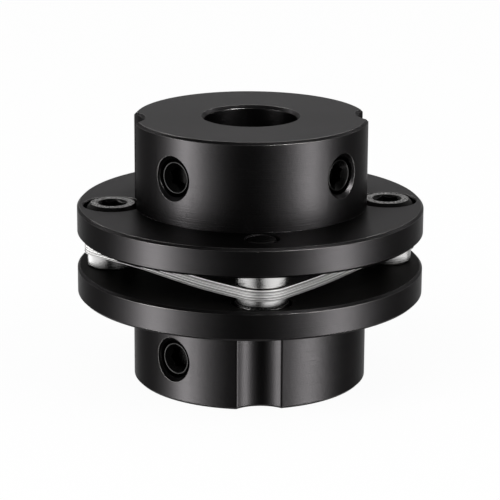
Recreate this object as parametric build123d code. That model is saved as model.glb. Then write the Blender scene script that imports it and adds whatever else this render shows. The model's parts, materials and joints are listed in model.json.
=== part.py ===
from build123d import *
import math
import os

# Disc coupling for two shafts in line: two flanged hubs joined by a pack of thin steel leaves.
# Millimetres. +Z runs up the bore, and the origin is on its axis at the lower hub's end face.
# The two hubs are one pattern. The upper one, with all that is bolted to it, is the lower one
# turned half a turn about a diagonal, so each half lies over the other with its bolts crossed.

# Hubs
flange_diameter = 56.0
flange_thickness = 4.7
barrel_diameter = 37.8
barrel_length = 14.3
edge_chamfer = 0.4  # on the rims of the flange and the barrel
bore_diameter = 15.0
bore_chamfer = 0.5

# Cap screws, two through each flange
bolt_margin = 5.75  # from the flange's rim to each screw's axis
screw_diameter = 5.0
head_diameter = 8.5
head_height = 5.0
head_chamfer = 0.7
head_socket = 4.0  # across the flats
head_socket_depth = 2.5
head_socket_lead = 0.1  # the socket's mouth opens this far past the hexagon's corners
screw_end_chamfer = 0.4

# Holes that the cap screws pass through or screw into
head_clearance = 0.5  # round a head, where it stands free in the other hub's flange
hole_chamfer = 0.2
relief_margin = 0.3  # the barrel's relief is this much wider than the head's hole
relief_lip = 0.5  # rounding where the relief meets the barrel
thread_clearance = 0.05
shank_clearance = 0.1

# Leaf pack, with a thick spacer under it and a thin washer over it at each screw
leaf_thickness = 0.2
leaf_count = 9
leaf_corner_radius = 4.6  # about each screw
leaf_window_diameter = 30.0
leaf_pad = 5.2  # a leaf stays flat this far from each screw's axis
leaf_ease = 9.0  # how gently a leaf bends away from its flat pads
washer_diameter = 8.2
washer_thickness = 1.3
spacer_thickness = 2.2
washer_chamfer = 0.15

# Set screws that hold the shafts
set_screw_diameter = 6.0
set_screw_length = 10.0
set_screw_height = 6.85  # above the hub's end face
set_screw_recess = 0.8
set_screw_socket = 3.0  # across the flats
set_screw_socket_depth = 2.5
set_screw_socket_lead = 0.7
set_screw_chamfer = 0.4
set_mouth_chamfer = 0.6
set_screw_angle = 45.0  # each side of the -X axis

# Sizes that follow from those
hub_length = barrel_length + flange_thickness
pack_thickness = leaf_count * leaf_thickness
hub_gap = spacer_thickness + pack_thickness + washer_thickness
coupling_length = 2 * hub_length + hub_gap
screw_length = hub_gap + flange_thickness  # ends level with the flange that it screws into
bolt_radius = flange_diameter / 2 - bolt_margin
barrel_radius = barrel_diameter / 2
head_hole_radius = head_diameter / 2 + head_clearance
relief_radius = head_hole_radius + relief_margin
relief_depth = barrel_radius + relief_radius - bolt_radius
front_angle = 180 + set_screw_angle
back_angle = 180 - set_screw_angle
flex = spacer_thickness - washer_thickness  # height between a leaf's raised and lowered corners
upper_face = hub_length + hub_gap  # the upper flange's inner face


def drilled(radius, low, high, rim):
    """A round hole along the Z axis from low to high, with a chamfer of size rim at both ends."""
    hole = Pos(0, 0, (low + high) / 2) * Cylinder(radius, high - low)
    for z, turn in ((high - rim / 2, 0), (low + rim / 2, 180)):
        hole += Pos(0, 0, z) * Rot(turn, 0, 0) * Cone(radius, radius + rim, rim)
    return hole


def socket(flats, depth, lead):
    """A hexagon socket that goes down from Z = 0, with a turned mouth, wider by the lead."""
    hexagon = RegularPolygon(flats / 2, 6, major_radius=False)
    mouth = flats / math.sqrt(3) + lead
    return extrude(hexagon, -depth) + Pos(0, 0, -mouth / 2) * Cone(0, mouth, mouth)


def barrel():
    """The hub's barrel, relieved over its full height where the other hub's screw heads pass."""
    outline = Circle(barrel_radius)
    for side in (-1, 1):
        outline -= Pos(0, side * bolt_radius) * Circle(relief_radius)
    lips = [v for v in outline.vertices() if abs(v.X) > 0.1 and abs(v.Y) > 0.1]  # not a circle's seam
    if lips:
        outline = fillet(lips, min(relief_lip, relief_depth / 2))
    body = extrude(outline, barrel_length)
    return chamfer(body.faces().sort_by(Axis.Z)[0].edges(), edge_chamfer)


def flange():
    """The hub's flange, with both rims chamfered."""
    disc = Pos(0, 0, barrel_length + flange_thickness / 2) * Cylinder(flange_diameter / 2, flange_thickness)
    return chamfer(disc.edges().filter_by(GeomType.CIRCLE), edge_chamfer)


def radial(angle):
    """A place on the barrel's side at the set screws' height, with its Z axis pointing out."""
    return Rot(0, 0, angle) * Pos(barrel_radius, 0, set_screw_height) * Rot(0, 90, 0)


def set_screw_hole(angle):
    """A tapped hole from the barrel's side into the bore."""
    radius = set_screw_diameter / 2 + thread_clearance
    hole = Pos(0, 0, -barrel_radius / 2) * Cylinder(radius, barrel_radius)
    hole += Cone(radius, radius + 2 * set_mouth_chamfer, 2 * set_mouth_chamfer)
    return radial(angle) * hole


def hub():
    """A hub with its barrel down: head holes on the Y axis and tapped holes on the X axis."""
    body = barrel() + flange() - drilled(bore_diameter / 2, 0, hub_length, bore_chamfer)
    head_hole = drilled(head_hole_radius, barrel_length, hub_length, hole_chamfer)
    tapped_hole = drilled(screw_diameter / 2 + thread_clearance, barrel_length, hub_length, hole_chamfer)
    for side in (-1, 1):
        body -= Pos(0, side * bolt_radius) * head_hole
        body -= Pos(side * bolt_radius, 0) * tapped_hole
    for angle in (front_angle, back_angle):
        body -= set_screw_hole(angle)
    return body


def cap_screw():
    """A socket head cap screw, head up, with its bearing face at Z = 0."""
    head = Pos(0, 0, head_height / 2) * Cylinder(head_diameter / 2, head_height)
    head = chamfer(head.edges().filter_by(GeomType.CIRCLE).sort_by(Axis.Z)[-1], head_chamfer)
    shank = Pos(0, 0, -screw_length / 2) * Cylinder(screw_diameter / 2, screw_length)
    shank = chamfer(shank.edges().filter_by(GeomType.CIRCLE).sort_by(Axis.Z)[0], screw_end_chamfer)
    return head + shank - Pos(0, 0, head_height) * socket(head_socket, head_socket_depth, head_socket_lead)


def set_screw(angle):
    """A headless screw in its tapped hole, a little below the barrel's side."""
    body = Pos(0, 0, -set_screw_length / 2) * Cylinder(set_screw_diameter / 2, set_screw_length)
    body = chamfer(body.edges().filter_by(GeomType.CIRCLE), set_screw_chamfer)
    body -= socket(set_screw_socket, set_screw_socket_depth, set_screw_socket_lead)
    return radial(angle) * Pos(0, 0, -set_screw_recess) * body


def ring(thickness):
    """A plain polished ring that stands on Z = 0, with its outer rims broken."""
    body = Pos(0, 0, thickness / 2) * Cylinder(washer_diameter / 2, thickness)
    body = chamfer(body.edges().filter_by(GeomType.CIRCLE), washer_chamfer)
    return body - Pos(0, 0, thickness / 2) * Cylinder(screw_diameter / 2 + shank_clearance, thickness)


def leaf_blank(reach, width):
    """A leaf before it is cut out: flat at its corners, and bent in a smooth S along each side."""
    blank = Part()
    for quarter in range(4):
        start, end = (0, flex) if quarter % 2 else (flex, 0)
        corner = Pos(reach, reach, end) * Box(width, width, leaf_thickness, align=Align.MIN)
        bend = reach - leaf_ease
        low = Bezier((-reach, 0, start), (-bend, 0, start), (bend, 0, end), (reach, 0, end))
        high = Pos(0, 0, leaf_thickness) * low
        section = make_face([low, high, Line(low @ 0, high @ 0), Line(low @ 1, high @ 1)])
        side = Pos(0, reach, 0) * extrude(section, width, dir=(0, 1, 0))
        blank += Rot(0, 0, 90 * quarter) * (corner + side)
    return blank


def leaf():
    """The lowest leaf: a square with round corners about the screws and a round window."""
    half_pitch = bolt_radius / math.sqrt(2)
    half_side = half_pitch + leaf_corner_radius
    outline = RectangleRounded(2 * half_side, 2 * half_side, leaf_corner_radius)
    outline -= Circle(leaf_window_diameter / 2)
    shank_hole = Circle(screw_diameter / 2 + shank_clearance)
    outline -= GridLocations(2 * half_pitch, 2 * half_pitch, 2, 2) * shank_hole
    reach = half_pitch - leaf_pad
    blank = leaf_blank(reach, half_side - reach + leaf_corner_radius)
    cut = blank & extrude(outline, flex + leaf_thickness)
    return Pos(0, 0, hub_length + washer_thickness) * Rot(0, 0, 45) * cut


def turned_over(piece):
    """The same piece on the other hub: half a turn about the diagonal at mid length."""
    return piece.rotate(Axis((0, 0, coupling_length / 2), (1, 1, 0)), 180)


def build():
    """All pieces by name."""
    pieces = {"lower_hub": hub()}
    pieces["upper_hub"] = turned_over(pieces["lower_hub"])
    # the screws at the left and right have their heads in the upper flange,
    # and those at the front and back are the same stacks turned over
    for side, other, x in (("left", "front", -bolt_radius), ("right", "back", bolt_radius)):
        stack = {
            "cap_screw": Pos(x, 0, upper_face) * cap_screw(),
            "washer": Pos(x, 0, upper_face - washer_thickness) * ring(washer_thickness),
            "spacer": Pos(x, 0, hub_length) * ring(spacer_thickness),
        }
        for name, piece in stack.items():
            pieces[f"{name}_{side}"] = piece
            pieces[f"{name}_{other}"] = turned_over(piece)
    lowest = leaf()
    for number in range(leaf_count):
        pieces[f"disc_leaf_{number + 1}"] = Pos(0, 0, number * leaf_thickness) * lowest
    # turned over, the front set screw comes to the upper hub's left and the back one to its right
    for name, angle, other in (("front", front_angle, "left"), ("back", back_angle, "right")):
        screw = set_screw(angle)
        pieces[f"lower_set_screw_{name}"] = screw
        pieces[f"upper_set_screw_{other}"] = turned_over(screw)
    return pieces


os.makedirs("parts", exist_ok=True)
for node, shape in build().items():
    export_step(shape, f"parts/{node}.step")
print("length", round(coupling_length, 3), "gap", round(hub_gap, 3), "flex", round(flex, 3))
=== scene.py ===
import json
import math
import bpy
from mathutils import Matrix, Vector

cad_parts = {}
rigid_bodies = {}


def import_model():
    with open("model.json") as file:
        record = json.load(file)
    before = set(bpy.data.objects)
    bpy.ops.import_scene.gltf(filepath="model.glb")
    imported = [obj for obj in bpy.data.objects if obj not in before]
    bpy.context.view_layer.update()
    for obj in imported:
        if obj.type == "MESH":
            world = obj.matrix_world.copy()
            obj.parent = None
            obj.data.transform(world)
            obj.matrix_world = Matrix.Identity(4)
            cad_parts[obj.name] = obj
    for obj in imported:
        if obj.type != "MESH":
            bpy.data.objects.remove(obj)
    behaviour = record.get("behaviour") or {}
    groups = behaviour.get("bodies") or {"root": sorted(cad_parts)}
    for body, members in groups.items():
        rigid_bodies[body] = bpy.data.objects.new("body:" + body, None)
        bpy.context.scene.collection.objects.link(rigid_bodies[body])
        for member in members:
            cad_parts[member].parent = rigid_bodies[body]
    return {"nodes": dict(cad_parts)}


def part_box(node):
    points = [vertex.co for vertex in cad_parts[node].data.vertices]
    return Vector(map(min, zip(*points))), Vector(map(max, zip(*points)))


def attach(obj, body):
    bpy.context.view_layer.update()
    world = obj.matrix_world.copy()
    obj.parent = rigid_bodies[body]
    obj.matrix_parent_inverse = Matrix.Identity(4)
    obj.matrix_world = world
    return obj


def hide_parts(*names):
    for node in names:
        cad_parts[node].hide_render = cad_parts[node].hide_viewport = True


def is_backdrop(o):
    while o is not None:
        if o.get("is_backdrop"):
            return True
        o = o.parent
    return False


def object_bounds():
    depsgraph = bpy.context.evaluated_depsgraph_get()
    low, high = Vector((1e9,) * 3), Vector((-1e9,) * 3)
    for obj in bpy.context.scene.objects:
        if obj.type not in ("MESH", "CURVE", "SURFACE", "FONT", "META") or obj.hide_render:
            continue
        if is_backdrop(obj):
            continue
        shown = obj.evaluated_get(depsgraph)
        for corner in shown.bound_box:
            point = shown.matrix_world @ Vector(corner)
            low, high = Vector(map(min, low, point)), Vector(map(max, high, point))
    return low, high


# A disc coupling: the frame gives its pieces and their places, and this file finishes them
mm = 0.001
for leftover in list(bpy.data.objects):
    bpy.data.objects.remove(leftover)
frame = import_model()
bpy.context.view_layer.update()
nodes = frame["nodes"]


class Wire:
    # one output of a node, which takes part in sums as a number would
    def __init__(self, shader, socket):
        self.shader = shader
        self.socket = socket

    def math(self, operation, *values):
        return self.shader.add("Math", {"operation": operation}, dict(enumerate(values)))

    def __add__(self, other):
        return self.math("ADD", self, other)

    def __radd__(self, other):
        return self.math("ADD", other, self)

    def __sub__(self, other):
        return self.math("SUBTRACT", self, other)

    def __rsub__(self, other):
        return self.math("SUBTRACT", other, self)

    def __mul__(self, other):
        return self.math("MULTIPLY", self, other)

    def __rmul__(self, other):
        return self.math("MULTIPLY", other, self)

    def __truediv__(self, other):
        return self.math("DIVIDE", self, other)

    def __rtruediv__(self, other):
        return self.math("DIVIDE", other, self)

    def power(self, exponent):
        return self.math("POWER", self, exponent)

    def between(self, low, high):
        # 0 below low, 1 above high, and a smooth rise between them
        settings = {"interpolation_type": "SMOOTHSTEP"}
        return self.shader.add("MapRange", settings, {"Value": self, "From Min": low, "From Max": high})


class Shader:
    # the nodes of one material, or of the world
    def __init__(self, owner):
        owner.use_nodes = True
        self.tree = owner.node_tree
        self.tree.nodes.clear()

    def add(self, kind, settings=None, inputs=None, output=0):
        node = self.tree.nodes.new("ShaderNode" + kind)
        for name, value in (settings or {}).items():
            setattr(node, name, value)
        for name, value in (inputs or {}).items():
            if isinstance(value, Wire):
                self.tree.links.new(value.socket, node.inputs[name])
            else:
                node.inputs[name].default_value = value
        return Wire(self, node.outputs[output]) if node.outputs else None

    def axes(self, vector):
        return [self.add("SeparateXYZ", None, {0: vector}, axis) for axis in range(3)]

    def vector(self, x, y, z=0.0):
        return self.add("CombineXYZ", None, {0: x, 1: y, 2: z})

    def blend(self, share, first, second, kind="MIX"):
        # from one colour to another
        settings = {"data_type": "RGBA", "blend_type": kind}
        return self.add("Mix", settings, {0: share, 6: first, 7: second}, 2)

    def openness(self, reach, samples=8):
        # 1 in the open, and less where something stands within the reach
        return self.add("AmbientOcclusion", {"samples": samples}, {"Distance": reach}, "AO")


white = (1, 1, 1, 1)
# the lens in millimetres, places in metres and turns in degrees
camera = {"lens": 177.4, "away": 0.38555, "height": 0.130805, "turn": 4.8, "down": 15.909, "roll": 0.315}


def makeCamera():
    turn, away = math.radians(camera["turn"]), camera["away"]
    data = bpy.data.cameras.new("camera")
    data.lens = camera["lens"]
    data.sensor_width = 36
    eye = bpy.data.objects.new("camera", data)
    bpy.context.collection.objects.link(eye)
    spot = Vector((-away * math.sin(turn), -away * math.cos(turn), camera["height"]))
    aim = Matrix.Rotation(-turn, 4, "Z") @ Matrix.Rotation(math.radians(90 - camera["down"]), 4, "X")
    roll = Matrix.Rotation(math.radians(camera["roll"]), 4, "Z")
    eye.matrix_world = Matrix.Translation(spot) @ aim @ roll
    bpy.context.scene.camera = eye


# a dim tent, which only reflections see, keeps the white background off the metal; it is darkest on the
# camera's side, far lighter behind the coupling and a little lighter overhead
studio = {
    "front": 0.015,
    "back": 0.62,
    "backTurns": (90, 170),  # degrees from the camera
    "overhead": 0.03,
    "overheadRise": (0.5, 0.9),  # shares of the tent's height
    "ambient": 0.55,
    "tent": 4.0,
    "floorSize": 8.0,
    "floorColor": 0.86,
    "floorLift": 0.95,  # how much of the floor's own shade is lifted to white for the camera
    "key": {"place": (-0.45, -0.5, 0.75), "size": 0.6, "glow": 4.4},
    "fill": {"place": (0.6, -0.35, 0.6), "size": 0.6, "glow": 2.6},
}
# each lamp lights its own pieces: strips the black steel, high lamps the hubs, boxes the bright rings and
# leaves, and sheets the leaves; a strip has faded to about a third that many degrees from its upright
# middle line, and a box to its dim share at the end nearest the camera
lamps = {
    "leftStrip": {"turn": -65, "lift": -9, "size": (2, 1.35), "glow": 8.0, "fade": 12, "lights": "black"},
    "rightStrip": {"turn": 60, "lift": -9, "size": (2, 1.35), "glow": 7.6, "fade": 10.5, "lights": "black"},
    "rightHigh": {"turn": 43, "lift": 39, "size": (0.3, 0.3), "glow": 46.0, "lights": "hubs"},
    "backTop": {"turn": 180, "lift": 45, "size": (1.6, 0.25), "glow": 6.0, "lights": "hubs"},
    "leftBox": {"turn": -84, "lift": 0, "size": (3.8, 2.4), "glow": 2.3, "dim": 0.13, "lights": "bright"},
    "rightBox": {"turn": 59, "lift": 0, "size": (3.4, 2.4), "glow": 1.3, "dim": 0.55, "lights": "bright"},
    "leftSheet": {"turn": -80, "lift": 5, "size": (3.0, 2.4), "glow": 1.7, "lights": "leaves"},
    "rightSheet": {"turn": 55, "lift": 5, "size": (3.0, 2.4), "glow": 1.3, "lights": "leaves"},
}
lampDistance = 1.2


def makeWorld():
    world = bpy.data.worlds.new("whiteRoom")
    bpy.context.scene.world = world
    world.cycles.sampling_method = "NONE"
    shader = Shader(world)
    rays = ("Is Camera Ray", "Is Glossy Ray", "Is Transmission Ray")
    straight, mirrored, through = (shader.add("LightPath", None, None, ray) for ray in rays)
    # white where it is seen, and dimmer as a light
    seen = (straight + mirrored + through).between(0, 1)
    light = seen + (1 - seen) * studio["ambient"]
    background = shader.add("Background", None, {"Color": white, "Strength": light})
    shader.add("OutputWorld", None, {"Surface": background})


def makeTent():
    bpy.ops.mesh.primitive_uv_sphere_add(segments=48, ring_count=24, radius=studio["tent"])
    tent = bpy.context.active_object
    tent.name = "tent"
    cloth = bpy.data.materials.new("tentCloth")
    cloth.cycles.emission_sampling = "NONE"
    shader = Shader(cloth)
    x, y, z = shader.axes(shader.add("TexCoord", None, None, "Object"))
    turn = x.math("ARCTAN2", x, 0 - y) * (180 / math.pi) + camera["turn"]
    aside = turn.math("ABSOLUTE", turn)
    light = studio["front"] + (studio["back"] - studio["front"]) * aside.between(*studio["backTurns"])
    light = light + studio["overhead"] * (z / studio["tent"]).between(*studio["overheadRise"])
    glow = shader.add("Emission", None, {"Color": white, "Strength": light})
    shader.add("OutputMaterial", None, {"Surface": glow})
    tent.data.materials.append(cloth)
    tent.visible_camera = False
    tent.visible_diffuse = False
    tent.visible_shadow = False
    tent.visible_transmission = False
    tent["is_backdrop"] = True


def makeFloor():
    bpy.ops.mesh.primitive_plane_add(size=studio["floorSize"])
    floor = bpy.context.active_object
    floor.name = "floor"
    paint = bpy.data.materials.new("paleFloor")
    shader = Shader(paint)
    shade = studio["floorColor"]
    board = shader.add("BsdfDiffuse", None, {"Color": (shade, shade, shade, 1)})
    plain = shader.add("Emission", None, {"Color": white, "Strength": 1.0})
    lift = shader.add("LightPath", None, None, "Is Camera Ray") * studio["floorLift"]
    board = shader.add("MixShader", None, {0: lift, 1: board, 2: plain})
    # from below it is clear
    clear = shader.add("BsdfTransparent")
    below = shader.add("NewGeometry", None, None, "Backfacing")
    board = shader.add("MixShader", None, {0: below, 1: board, 2: clear})
    shader.add("OutputMaterial", None, {"Surface": board})
    floor.data.materials.append(paint)
    floor.visible_glossy = False
    floor.visible_shadow = False
    floor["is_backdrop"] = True


def makeLamp(name, spot, width, height, glow):
    data = bpy.data.lights.new(name, "AREA")
    data.shape = "RECTANGLE"
    data.size = width
    data.size_y = height
    data.energy = glow * math.pi * width * height
    lamp = bpy.data.objects.new(name, data)
    bpy.context.collection.objects.link(lamp)
    lamp.location = spot
    lamp.rotation_euler = (-Vector(spot)).to_track_quat("-Z", "Y").to_euler()
    lamp.visible_camera = False
    return lamp


def shadeLamp(lamp, values):
    shader = Shader(lamp.data)
    across = shader.axes(shader.add("NewGeometry", None, None, "Parametric"))[0]
    if "fade" in values:
        aside = (across - 0.5) * (lamp.data.size / lampDistance)
        degrees = aside.math("ARCTANGENT", aside) * (180 / math.pi)
        near = 1 / (1 + (degrees / values["fade"]).power(2)).power(1.5)
    elif values["turn"] > 0:
        near = values["dim"] + (1 - values["dim"]) * across.between(0, 0.5)
    else:
        near = values["dim"] + (1 - values["dim"]) * (1 - across)
    glow = shader.add("Emission", None, {"Color": white, "Strength": near})
    shader.add("OutputLight", None, {"Surface": glow})


def makeLamps(struck):
    for name in ("key", "fill"):
        values = studio[name]
        lamp = makeLamp(name + "Lamp", values["place"], values["size"], values["size"], values["glow"])
        lamp.visible_glossy = False
    for name, values in lamps.items():
        angle, rise = math.radians(values["turn"] - camera["turn"]), math.radians(values["lift"])
        level = Vector((math.sin(angle), -math.cos(angle), 0)) * math.cos(rise)
        spot = (level + Vector((0, 0, math.sin(rise)))) * lampDistance
        lamp = makeLamp(name, spot, *values["size"], values["glow"])
        lamp.light_linking.receiver_collection = struck[values["lights"]]
        if "fade" in values or "dim" in values:
            shadeLamp(lamp, values)


# the pieces that each kind of lamp lights go in here as they are finished
kinds = ("hubs", "black", "bright", "leaves")
struck = {kind: bpy.data.collections.new(kind + "Pieces") for kind in kinds}
makeCamera()
makeWorld()
makeTent()
makeFloor()
makeLamps(struck)
print("studio set up")


def keepOnly(*pieces):
    # selects these alone, the last as the active one
    bpy.ops.object.select_all(action="DESELECT")
    for piece in pieces:
        piece.select_set(True)
    bpy.context.view_layer.objects.active = pieces[-1]


def drawLine(name, points):
    # one vertex drawn out from point to point, each a radius and a height in millimetres
    bpy.ops.object.select_all(action="DESELECT")
    bpy.ops.mesh.primitive_plane_add(size=1)
    line = bpy.context.active_object
    line.name = name
    bpy.ops.object.mode_set(mode="EDIT")
    bpy.ops.mesh.select_all(action="SELECT")
    bpy.ops.mesh.merge(type="CENTER")
    bpy.ops.transform.translate(value=(points[0][0], 0, points[0][1]))
    for before, after in zip(points, points[1:]):
        step = (after[0] - before[0], 0, after[1] - before[1])
        bpy.ops.mesh.extrude_region_move(TRANSFORM_OT_translate={"value": step})
    bpy.ops.object.mode_set(mode="OBJECT")
    return line


def applyModifier(piece, kind, settings):
    keepOnly(piece)
    modifier = piece.modifiers.new(kind.lower(), kind)
    for name, value in settings.items():
        setattr(modifier, name, value)
    bpy.ops.object.modifier_apply(modifier=modifier.name)


def closeSeams(piece, distance):
    keepOnly(piece)
    bpy.ops.object.mode_set(mode="EDIT")
    bpy.ops.mesh.select_all(action="SELECT")
    bpy.ops.mesh.remove_doubles(threshold=distance)
    bpy.ops.mesh.normals_make_consistent(inside=False)
    bpy.ops.object.mode_set(mode="OBJECT")


def turnOnLathe(name, points, sides, pitch=0.0, turns=1):
    # the line swept round the axis, or along it too where there is a pitch
    piece = drawLine(name, points)
    settings = {"steps": sides, "render_steps": sides, "screw_offset": pitch, "iterations": turns}
    applyModifier(piece, "SCREW", settings | {"use_smooth_shade": False})
    closeSeams(piece, cutting["seam"])
    return piece


def soften(corners, soft):
    # the corners between the ends of a line give way to small curves
    points = [corners[0]]
    for before, corner, after in zip(corners, corners[1:], corners[2:]):
        here = Vector(corner)
        ends = [here + (Vector(side) - here).normalized() * soft for side in (before, after)]
        points += [ends[0], (ends[0] + 2 * here + ends[1]) / 4, ends[1]]
    return [tuple(point) for point in points + [corners[-1]]]


def combine(piece, other, operation):
    applyModifier(piece, "BOOLEAN", {"operation": operation, "object": other, "solver": "EXACT"})
    bpy.data.objects.remove(other)


def trim(piece, height, above):
    # cuts a piece level at a height and closes the cut
    keepOnly(piece)
    bpy.ops.object.mode_set(mode="EDIT")
    bpy.ops.mesh.select_all(action="SELECT")
    bpy.ops.mesh.bisect(
        plane_co=(0, 0, height), plane_no=(0, 0, 1), use_fill=True, clear_outer=above, clear_inner=not above
    )
    bpy.ops.object.mode_set(mode="OBJECT")


# millimetres
cutting = {
    "seam": 1e-4,
    "near": 0.01,  # how close to a line counts as on it
    "soft": 0.05,
    "sides": 96,
    "past": 0.02,  # how far a cutter stands past a thread's crest
    "spare": 0.2,  # how much longer a thread is before it is cut to length
    "over": 1.0,  # how far a socket's cutter stands over the screw
    "mouthSides": 72,
    "drillRise": 0.3,  # of the cone that the drill leaves, as a share of its radius
    "threadSides": 48,
    "threadLine": ((0, 0), (0, 0.2), (1, 0.42), (1, 0.72), (0, 1)),  # shares of the depth and of the pitch
    "threadLead": 1.5,  # turns below the first whole one
}


def cutThread(name, core, crest, pitch, low, high):
    # a thread's groove and crest wound up the axis, then cut level at both ends
    turns = math.ceil((high - low) / pitch) + math.ceil(2 * cutting["threadLead"])
    start = low - cutting["threadLead"] * pitch
    points = [(crest if out else core, start + rise * pitch) for out, rise in cutting["threadLine"]]
    thread = turnOnLathe(name, points, cutting["threadSides"], pitch, turns)
    trim(thread, low, False)
    trim(thread, high, True)
    closeSeams(thread, cutting["seam"])
    return thread


smoothAngle = 34  # degrees


def place(model, name, spot, slotName, nodeName):
    # a copy at a thousandth of the model's size, which stands for the frame's own node
    piece = model.copy()
    piece.data = model.data.copy()
    piece.name = name
    bpy.context.collection.objects.link(piece)
    piece.matrix_world = spot @ Matrix.Scale(mm, 4)
    finish(piece, slotName, nodeName)


def finish(piece, slotName, nodeName):
    keepOnly(piece)
    bpy.ops.object.transform_apply(location=True, rotation=True, scale=True)
    bpy.ops.object.shade_smooth_by_angle(angle=math.radians(smoothAngle))
    piece.data.materials.clear()
    piece.data.materials.append(materials[slotName])
    struck["bright" if slotName in brightSlots else "black"].objects.link(piece)
    if slotName == "leaf_steel":
        struck["leaves"].objects.link(piece)
    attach(piece, "root")
    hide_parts(nodeName)


def middleOf(nodeName):
    low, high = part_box(nodeName)
    return (Vector(low) + Vector(high)) / 2


# marks, their depth, edges, hollows and feet are in millimetres, and the rest are shares
finishes = {
    "black_steel": {
        "color": (0.0455, 0.0435, 0.0445, 1),
        "worn": (0.4, 0.39, 0.38, 1),
        "wear": 0.55,
        "glance": 0.5,  # how bright the edge-on reflection is
        "roughness": 0.29,
        "patches": 0.05,
        "marks": 0.1,
        "markDepth": 0.03,
        "markGloss": 0.02,
        "edge": 0.11,
        "gap": 0.2,  # how much rougher the flanges are where they face each other
        "foot": 7.0,  # how far from its barrel's foot a flange's top is darkened with painted shade
        "turned": "bore",
    },
    "screw_steel": {
        "color": (0.05, 0.049, 0.048, 1),
        "worn": (0.72, 0.71, 0.7, 1),
        "wear": 0.8,
        "flatWear": 1.0,  # on the faces square to the bore, which hands and tools rub
        "glance": 0.5,
        "roughness": 0.3,
        "patches": 0.15,
        "marks": 0.25,
        "markDepth": 0.012,
        "markGloss": 0.1,
        "edge": 0.09,
        "hollow": 2.0,
        "turned": "none",
    },
    "set_screw_steel": {
        "color": (0.04, 0.0395, 0.039, 1),
        "worn": (0.5, 0.49, 0.48, 1),
        "wear": 0.7,
        "glance": 0.5,
        "roughness": 0.25,
        "patches": 0.08,
        "marks": 0.3,
        "markDepth": 0.003,
        "markGloss": 0.1,
        "edge": 0.08,
        "hollow": 2.0,
        "turned": "none",
    },
    "leaf_steel": {
        "color": (0.9, 0.89, 0.88, 1),
        "worn": (0.95, 0.94, 0.93, 1),
        "wear": 0.3,
        "glance": 1.0,
        "shades": 0.7,  # from the darkest leaf to the brightest
        "roughness": 0.5,
        "rolled": 0.3,  # how much smoother their flat faces are than their cut edges
        "patches": 0.1,
        "marks": 0.08,
        "markDepth": 0.008,
        "markGloss": 0.1,
        "edge": 0.02,
        "hollow": 0.3,
        "turned": "sheets",
    },
    "ring_steel": {
        "color": (0.53, 0.525, 0.52, 1),
        "worn": (0.7, 0.69, 0.68, 1),
        "wear": 0.3,
        "glance": 1.0,
        "roughness": 0.2,
        "patches": 0.05,
        "marks": 0.1,
        "markDepth": 0.04,
        "markGloss": 0.06,
        "edge": 0.03,
        "turned": "bolts",
    },
}
brightSlots = ("leaf_steel", "ring_steel")
paintedShade = (0.01, 0.0095, 0.009, 1)  # painted shade, laid into hollows, into the flanges' gap and onto the flanges' tops by the barrels' feet
boltRadius = middleOf("washer_right").x  # metres, as Object coordinates are
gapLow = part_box("lower_hub")[1][2] / mm
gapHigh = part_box("upper_hub")[0][2] / mm
# where wear and painted shade lie on any of the metals, each pair from none to full; reaches and edges are
# in millimetres
wearAndShade = {
    "patchScale": 140.0,
    "edgePatches": (0.25, 0.6),
    "edgeTurn": (0.003, 0.07),  # how far an edge is turned from its flat faces
    "edgeReach": 0.3,
    "edgeOpen": (0.75, 0.95),  # only edges that stand out are rubbed
    "flatTurn": (0.8, 0.98),  # how square to the bore a face is
    "flatMarks": (0.42, 0.6),
    "headInside": (2.4, 2.5),  # from a bolt's axis: a socket's floor and a screw's end aren't rubbed
    "hollowOpen": (0.35, 0.9),
    "gapEdge": 0.1,
    "gapShade": 0.6,
    "footOpen": (0.5, 0.95),
    "footShade": 0.85,
    "rolledTurn": (0.6, 0.9),
    "edgeStretch": 20,  # how much longer than wide the marks on a leaf's cut edge are
}


def fromBolt(x, y):
    # how far it is to the axis of the nearest bolt
    overX, overY = x.math("ABSOLUTE", x), y.math("ABSOLUTE", y)
    out = x.math("MAXIMUM", overX, overY) - boltRadius
    along = x.math("MINIMUM", overX, overY)
    return (out * out + along * along).power(0.5)


def toolMarks(shader, values, spot):
    # fine lines round the bore or the nearest bolt, upright ones on a leaf's cut edge, or grains
    size = values["marks"] * mm
    x, y, z = shader.axes(spot)
    if values["turned"] == "bore":
        across = shader.vector((x * x + y * y).power(0.5) / size, z / size)
    elif values["turned"] == "bolts":
        across = shader.vector(fromBolt(x, y) / size, z / size)
    elif values["turned"] == "sheets":
        across = shader.vector(x / size, y / size, z / (wearAndShade["edgeStretch"] * size))
    else:
        across = shader.vector(x / size, y / size, z / size)
    return shader.add("TexNoise", None, {"Vector": across, "Scale": 1.0, "Detail": 3.0})


def wornShare(shader, values, spot, rounded, facing, marks, patches):
    turned = shader.add("VectorMath", {"operation": "DOT_PRODUCT"}, {0: rounded, 1: facing}, "Value")
    standsOut = shader.openness(wearAndShade["edgeReach"] * mm, 4).between(*wearAndShade["edgeOpen"])
    worn = (1 - turned).between(*wearAndShade["edgeTurn"]) * patches.between(*wearAndShade["edgePatches"]) * standsOut
    worn = worn * values["wear"]
    if "flatWear" in values:
        x, y = shader.axes(spot)[:2]
        slope = shader.axes(facing)[2]
        flat = slope.math("ABSOLUTE", slope).between(*wearAndShade["flatTurn"])
        flat = flat * (fromBolt(x, y) / mm).between(*wearAndShade["headInside"])
        worn = worn.math("MAXIMUM", worn, flat * marks.between(*wearAndShade["flatMarks"]) * values["flatWear"])
    return worn


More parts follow.
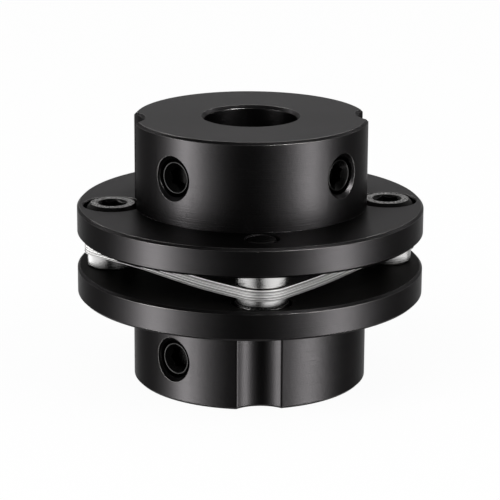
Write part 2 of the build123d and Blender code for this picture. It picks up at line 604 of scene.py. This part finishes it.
def makeFinish(name):
    values = finishes[name]
    metal = bpy.data.materials.new(name + "Finish")
    shader = Shader(metal)
    spot = shader.add("TexCoord", None, None, "Object")
    facing = shader.add("NewGeometry", None, None, "Normal")
    height, slope = shader.axes(spot)[2] / mm, shader.axes(facing)[2]
    marks = toolMarks(shader, values, spot)
    cloud = {"Vector": spot, "Scale": wearAndShade["patchScale"], "Detail": 4.0, "Distortion": 0.4}
    patches = shader.add("TexNoise", None, cloud)
    rounded = shader.add("Bevel", {"samples": 4}, {"Radius": values["edge"] * mm})
    worn = wornShare(shader, values, spot, rounded, facing, marks, patches)
    color = values["color"]
    if "hollow" in values:
        # painted shade: the sockets and the grooves between the leaves are darkened where little is open
        # around them
        clear = shader.openness(values["hollow"] * mm).between(*wearAndShade["hollowOpen"])
        color = shader.blend(clear, paintedShade, color)
    color = shader.blend(worn, color, values["worn"])
    roughness = values["roughness"] + values["patches"] * (patches - 0.5)
    roughness = roughness + values["markGloss"] * (marks - 0.5)
    if "gap" in values:
        above = height.between(gapLow - wearAndShade["gapEdge"], gapLow)
        inGap = above * (1 - height.between(gapHigh, gapHigh + wearAndShade["gapEdge"]))
        roughness = roughness + values["gap"] * inGap
        # painted shade: the flanges' faces inside the gap between them are darkened
        color = shader.blend(wearAndShade["gapShade"] * inGap, color, paintedShade)
    if "foot" in values:
        # painted shade: faces that look up near the barrel's foot are darkened where little is open around
        # them
        near = 1 - shader.openness(values["foot"] * mm).between(*wearAndShade["footOpen"])
        color = shader.blend(wearAndShade["footShade"] * slope.between(*wearAndShade["flatTurn"]) * near, color, paintedShade)
    if "rolled" in values:
        flat = slope.math("ABSOLUTE", slope).between(*wearAndShade["rolledTurn"])
        roughness = roughness - values["rolled"] * flat
    if "shades" in values:
        shade = 1 - values["shades"] * shader.add("ObjectInfo", None, None, "Random")
        color = shader.blend(1.0, color, shade, "MULTIPLY")
    depth = {"Height": marks, "Distance": values["markDepth"] * mm, "Strength": 1.0, "Normal": rounded}
    inputs = {
        "Base Color": color,
        "Metallic": 1.0,
        "Roughness": roughness,
        "Normal": shader.add("Bump", None, depth),
        "Specular Tint": (values["glance"],) * 3 + (1,),
    }
    body = shader.add("BsdfPrincipled", None, inputs)
    shader.add("OutputMaterial", None, {"Surface": body})
    return metal


materials = {name: makeFinish(name) for name in finishes}
print("finishes mixed")

capScrew = {
    "head": 4.25,
    "height": 5.0,
    "chamfer": 0.7,
    "baseChamfer": 0.12,
    "edge": 0.05,
    "edgeAngle": 28,
    "socket": 4.0,
    "socketDepth": 2.5,
    "mouth": 2.41,
    "teeth": 72,
    "toothDepth": 0.11,
    "teethFrom": (0.4, 0.55),  # where the knurl begins and is full, above the bearing face
    "teethTo": (0.25, 0.4),  # where it ends and is full, below the top chamfer
    "shank": 2.46,
    "crest": 2.5,
    "core": 2.08,
    "pitch": 0.8,
    "length": 10.0,
    "threaded": 5.2,
    "overlap": 0.1,  # of the shank and the thread
    "endChamfer": 0.4,
    "turns": {"left": 12.0, "right": 40.0, "front": 25.0, "back": 5.0},
}


def socketCutter(flats, top, depth, mouth):
    # a hexagon with a turned mouth, and the drill's cone at the bottom
    corner = flats / math.sqrt(3)
    over = top + cutting["over"]
    floor = top - depth
    points = ((0, over), (corner, over), (corner, floor), (0, floor - cutting["drillRise"] * corner))
    cutter = turnOnLathe("socketCutter", points, 6)
    points = ((0, over), (mouth + cutting["over"], over), (0, top - mouth))
    combine(cutter, turnOnLathe("coneCutter", points, cutting["mouthSides"]), "UNION")
    return cutter


def pressKnurl(screw, low, high):
    # every second upright line of the head's side is pressed in
    values, near = capScrew, cutting["near"]
    for part in (screw.data.polygons, screw.data.edges):
        part.foreach_set("select", [False] * len(part))
    step = math.pi / values["teeth"]
    for vertex in screw.data.vertices:
        spot = vertex.co
        number = round(math.atan2(spot.y, spot.x) / step)
        onSide = math.hypot(spot.x, spot.y) > values["head"] - near
        vertex.select = onSide and low - near < spot.z < high + near and number % 2 == 1
    keepOnly(screw)
    bpy.ops.object.mode_set(mode="EDIT")
    press = 1 - values["toothDepth"] / values["head"]
    bpy.ops.transform.resize(value=(press, press, 1), center_override=(0, 0, 0))
    bpy.ops.object.mode_set(mode="OBJECT")


def makeHead(joint):
    # the head, its knurl and socket, and the shank down to the thread
    values = capScrew
    head, top, shank, base = (values[name] for name in ("head", "height", "shank", "baseChamfer"))
    shoulder = top - values["chamfer"]
    foot = joint - 2 * values["overlap"]
    low, high = values["teethFrom"][1], shoulder - values["teethTo"][1]
    points = [(0, foot), (shank, foot), (shank, 0), (head - base, 0), (head, base)]
    points += [(head, values["teethFrom"][0]), (head, low), (head, high)]
    points += [(head, shoulder - values["teethTo"][0]), (head, shoulder)]
    points += [(head - values["chamfer"], top), (0, top)]
    screw = turnOnLathe("capScrewModel", points, 2 * values["teeth"])
    combine(screw, socketCutter(values["socket"], top, values["socketDepth"], values["mouth"]), "DIFFERENCE")
    settings = {"width": values["edge"], "segments": 2, "limit_method": "ANGLE"}
    applyModifier(screw, "BEVEL", settings | {"angle_limit": math.radians(values["edgeAngle"])})
    pressKnurl(screw, low, high)
    return screw


def makeCapScrew():
    values = capScrew
    crest, cut, low = values["crest"], values["endChamfer"], -values["length"]
    joint = values["threaded"] - values["length"]
    screw = makeHead(joint)
    past, top, start = crest + cutting["past"], joint - values["overlap"], low - cutting["spare"]
    thread = cutThread("capScrewThread", values["core"], crest, values["pitch"], start, joint)
    points = ((0, low), (crest - cut, low), (past, low + cut + cutting["past"]), (past, top), (0, top))
    body = turnOnLathe("threadEnd", soften(points, cutting["soft"]), cutting["sides"])
    combine(thread, body, "INTERSECT")
    keepOnly(thread, screw)
    bpy.ops.object.join()
    return screw


model = makeCapScrew()
for side, turn in capScrew["turns"].items():
    node = f"cap_screw_{side}"
    low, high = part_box(node)
    spot = middleOf(node)
    headUp = side in ("left", "right")
    spot.z = high[2] - capScrew["height"] * mm if headUp else low[2] + capScrew["height"] * mm
    over = Matrix.Rotation(0 if headUp else math.pi, 4, "X")
    stand = Matrix.Translation(spot) @ over @ Matrix.Rotation(math.radians(turn), 4, "Z")
    place(model, "capScrew" + side.capitalize(), stand, "screw_steel", node)
bpy.data.objects.remove(model)
print("cap screws made")

setScrew = {
    "crest": 3.0,
    "core": 2.6,
    "pitch": 1.0,
    "length": 10.0,
    "chamfer": 0.5,
    "socket": 3.0,
    "socketDepth": 2.5,
    "socketMouth": 1.5,
    "mouth": 2.36,  # where the turned lead meets the end face
    "mouthFloor": 1.3,
    "cup": 1.6,
    "cupDepth": 0.7,
    "cupLand": 0.5,
    "turns": {
        "lower_set_screw_front": 8.0,
        "lower_set_screw_back": 50.0,
        "upper_set_screw_left": 40.0,
        "upper_set_screw_right": 19.0,
    },
}


def makeSetScrew():
    values = setScrew
    crest, cut, cup, floor = (values[name] for name in ("crest", "chamfer", "cup", "mouthFloor"))
    low, past, land = -values["length"], crest + cutting["past"], cup + values["cupLand"]
    pitch, spare = values["pitch"], cutting["spare"]
    thread = cutThread("setScrewModel", values["core"], crest, pitch, low - spare, spare)
    points = [(0, low + values["cupDepth"]), (cup, low), (land, low), (past, low + crest - land)]
    points += [(past, -cut - cutting["past"]), (crest - cut, 0), (values["mouth"], 0)]
    points += [(floor, floor - values["mouth"]), (0, floor - values["mouth"])]
    body = turnOnLathe("setScrewBody", soften(points, cutting["soft"]), cutting["sides"])
    combine(thread, body, "INTERSECT")
    cutter = socketCutter(values["socket"], 0, values["socketDepth"], values["socketMouth"])
    combine(thread, cutter, "DIFFERENCE")
    return thread


model = makeSetScrew()
for node, turn in setScrew["turns"].items():
    spot = middleOf(node)
    outward = Vector((spot.x, spot.y, 0)).normalized()
    spot += outward * setScrew["length"] / 2 * mm
    stand = Matrix.Translation(spot) @ outward.to_track_quat("Z", "Y").to_matrix().to_4x4()
    name = "setScrew" + node.replace("_set_screw_", " ").title().replace(" ", "")
    place(model, name, stand @ Matrix.Rotation(math.radians(turn), 4, "Z"), "set_screw_steel", node)
bpy.data.objects.remove(model)
print("set screws made")

rings = {"outer": 4.1, "inner": 2.6, "chamfer": 0.15}


def makeRing(thickness):
    outer, inner, cut = (rings[name] for name in ("outer", "inner", "chamfer"))
    half = thickness / 2
    corners = [(inner, 0), (inner, -half), (outer - cut, -half), (outer, cut - half)]
    corners += [(outer, half - cut), (outer - cut, half), (inner, half), (inner, 0)]
    return turnOnLathe("ringModel", soften(corners, cutting["soft"]), cutting["sides"])


for kind in ("washer", "spacer"):
    low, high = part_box(kind + "_left")
    model = makeRing((high[2] - low[2]) / mm)
    for side in ("left", "right", "front", "back"):
        node = f"{kind}_{side}"
        place(model, kind + side.capitalize(), Matrix.Translation(middleOf(node)), "ring_steel", node)
    bpy.data.objects.remove(model)
print("washers and spacers made")

leaves = {
    "smaller": (0, 0.12, 0.02, 0.14, 0.03, 0.13, 0.01, 0.12, 0),  # at its corners, from the lowest leaf up
    "reach": 26.85,  # from the bore's axis to a corner
    "soft": 0.06,
    "softAngle": 50,
    "seam": 0.001,
}


def makeLeaf(number, smaller):
    node = f"disc_leaf_{number}"
    leaf = bpy.data.objects.new(f"leaf{number}", nodes[node].data.copy())
    bpy.context.collection.objects.link(leaf)
    keepOnly(leaf)
    bpy.ops.mesh.customdata_custom_splitnormals_clear()
    closeSeams(leaf, leaves["seam"] * mm)
    size = 1 - smaller / leaves["reach"]
    leaf.matrix_world = Matrix.Diagonal((size, size, 1, 1))
    settings = {"width": leaves["soft"] * mm, "segments": 1, "limit_method": "ANGLE"}
    applyModifier(leaf, "BEVEL", settings | {"angle_limit": math.radians(leaves["softAngle"])})
    finish(leaf, "leaf_steel", node)


for number, smaller in enumerate(leaves["smaller"], 1):
    makeLeaf(number, smaller)
print("leaves made")

for node in ("lower_hub", "upper_hub"):
    nodes[node].data.materials.clear()
    nodes[node].data.materials.append(materials["black_steel"])
    struck["black"].objects.link(nodes[node])
    struck["hubs"].objects.link(nodes[node])
print("hubs finished")

scene = bpy.context.scene
scene.view_settings.view_transform = "Standard"
low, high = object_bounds()
print("sizes", list(low), list(high))
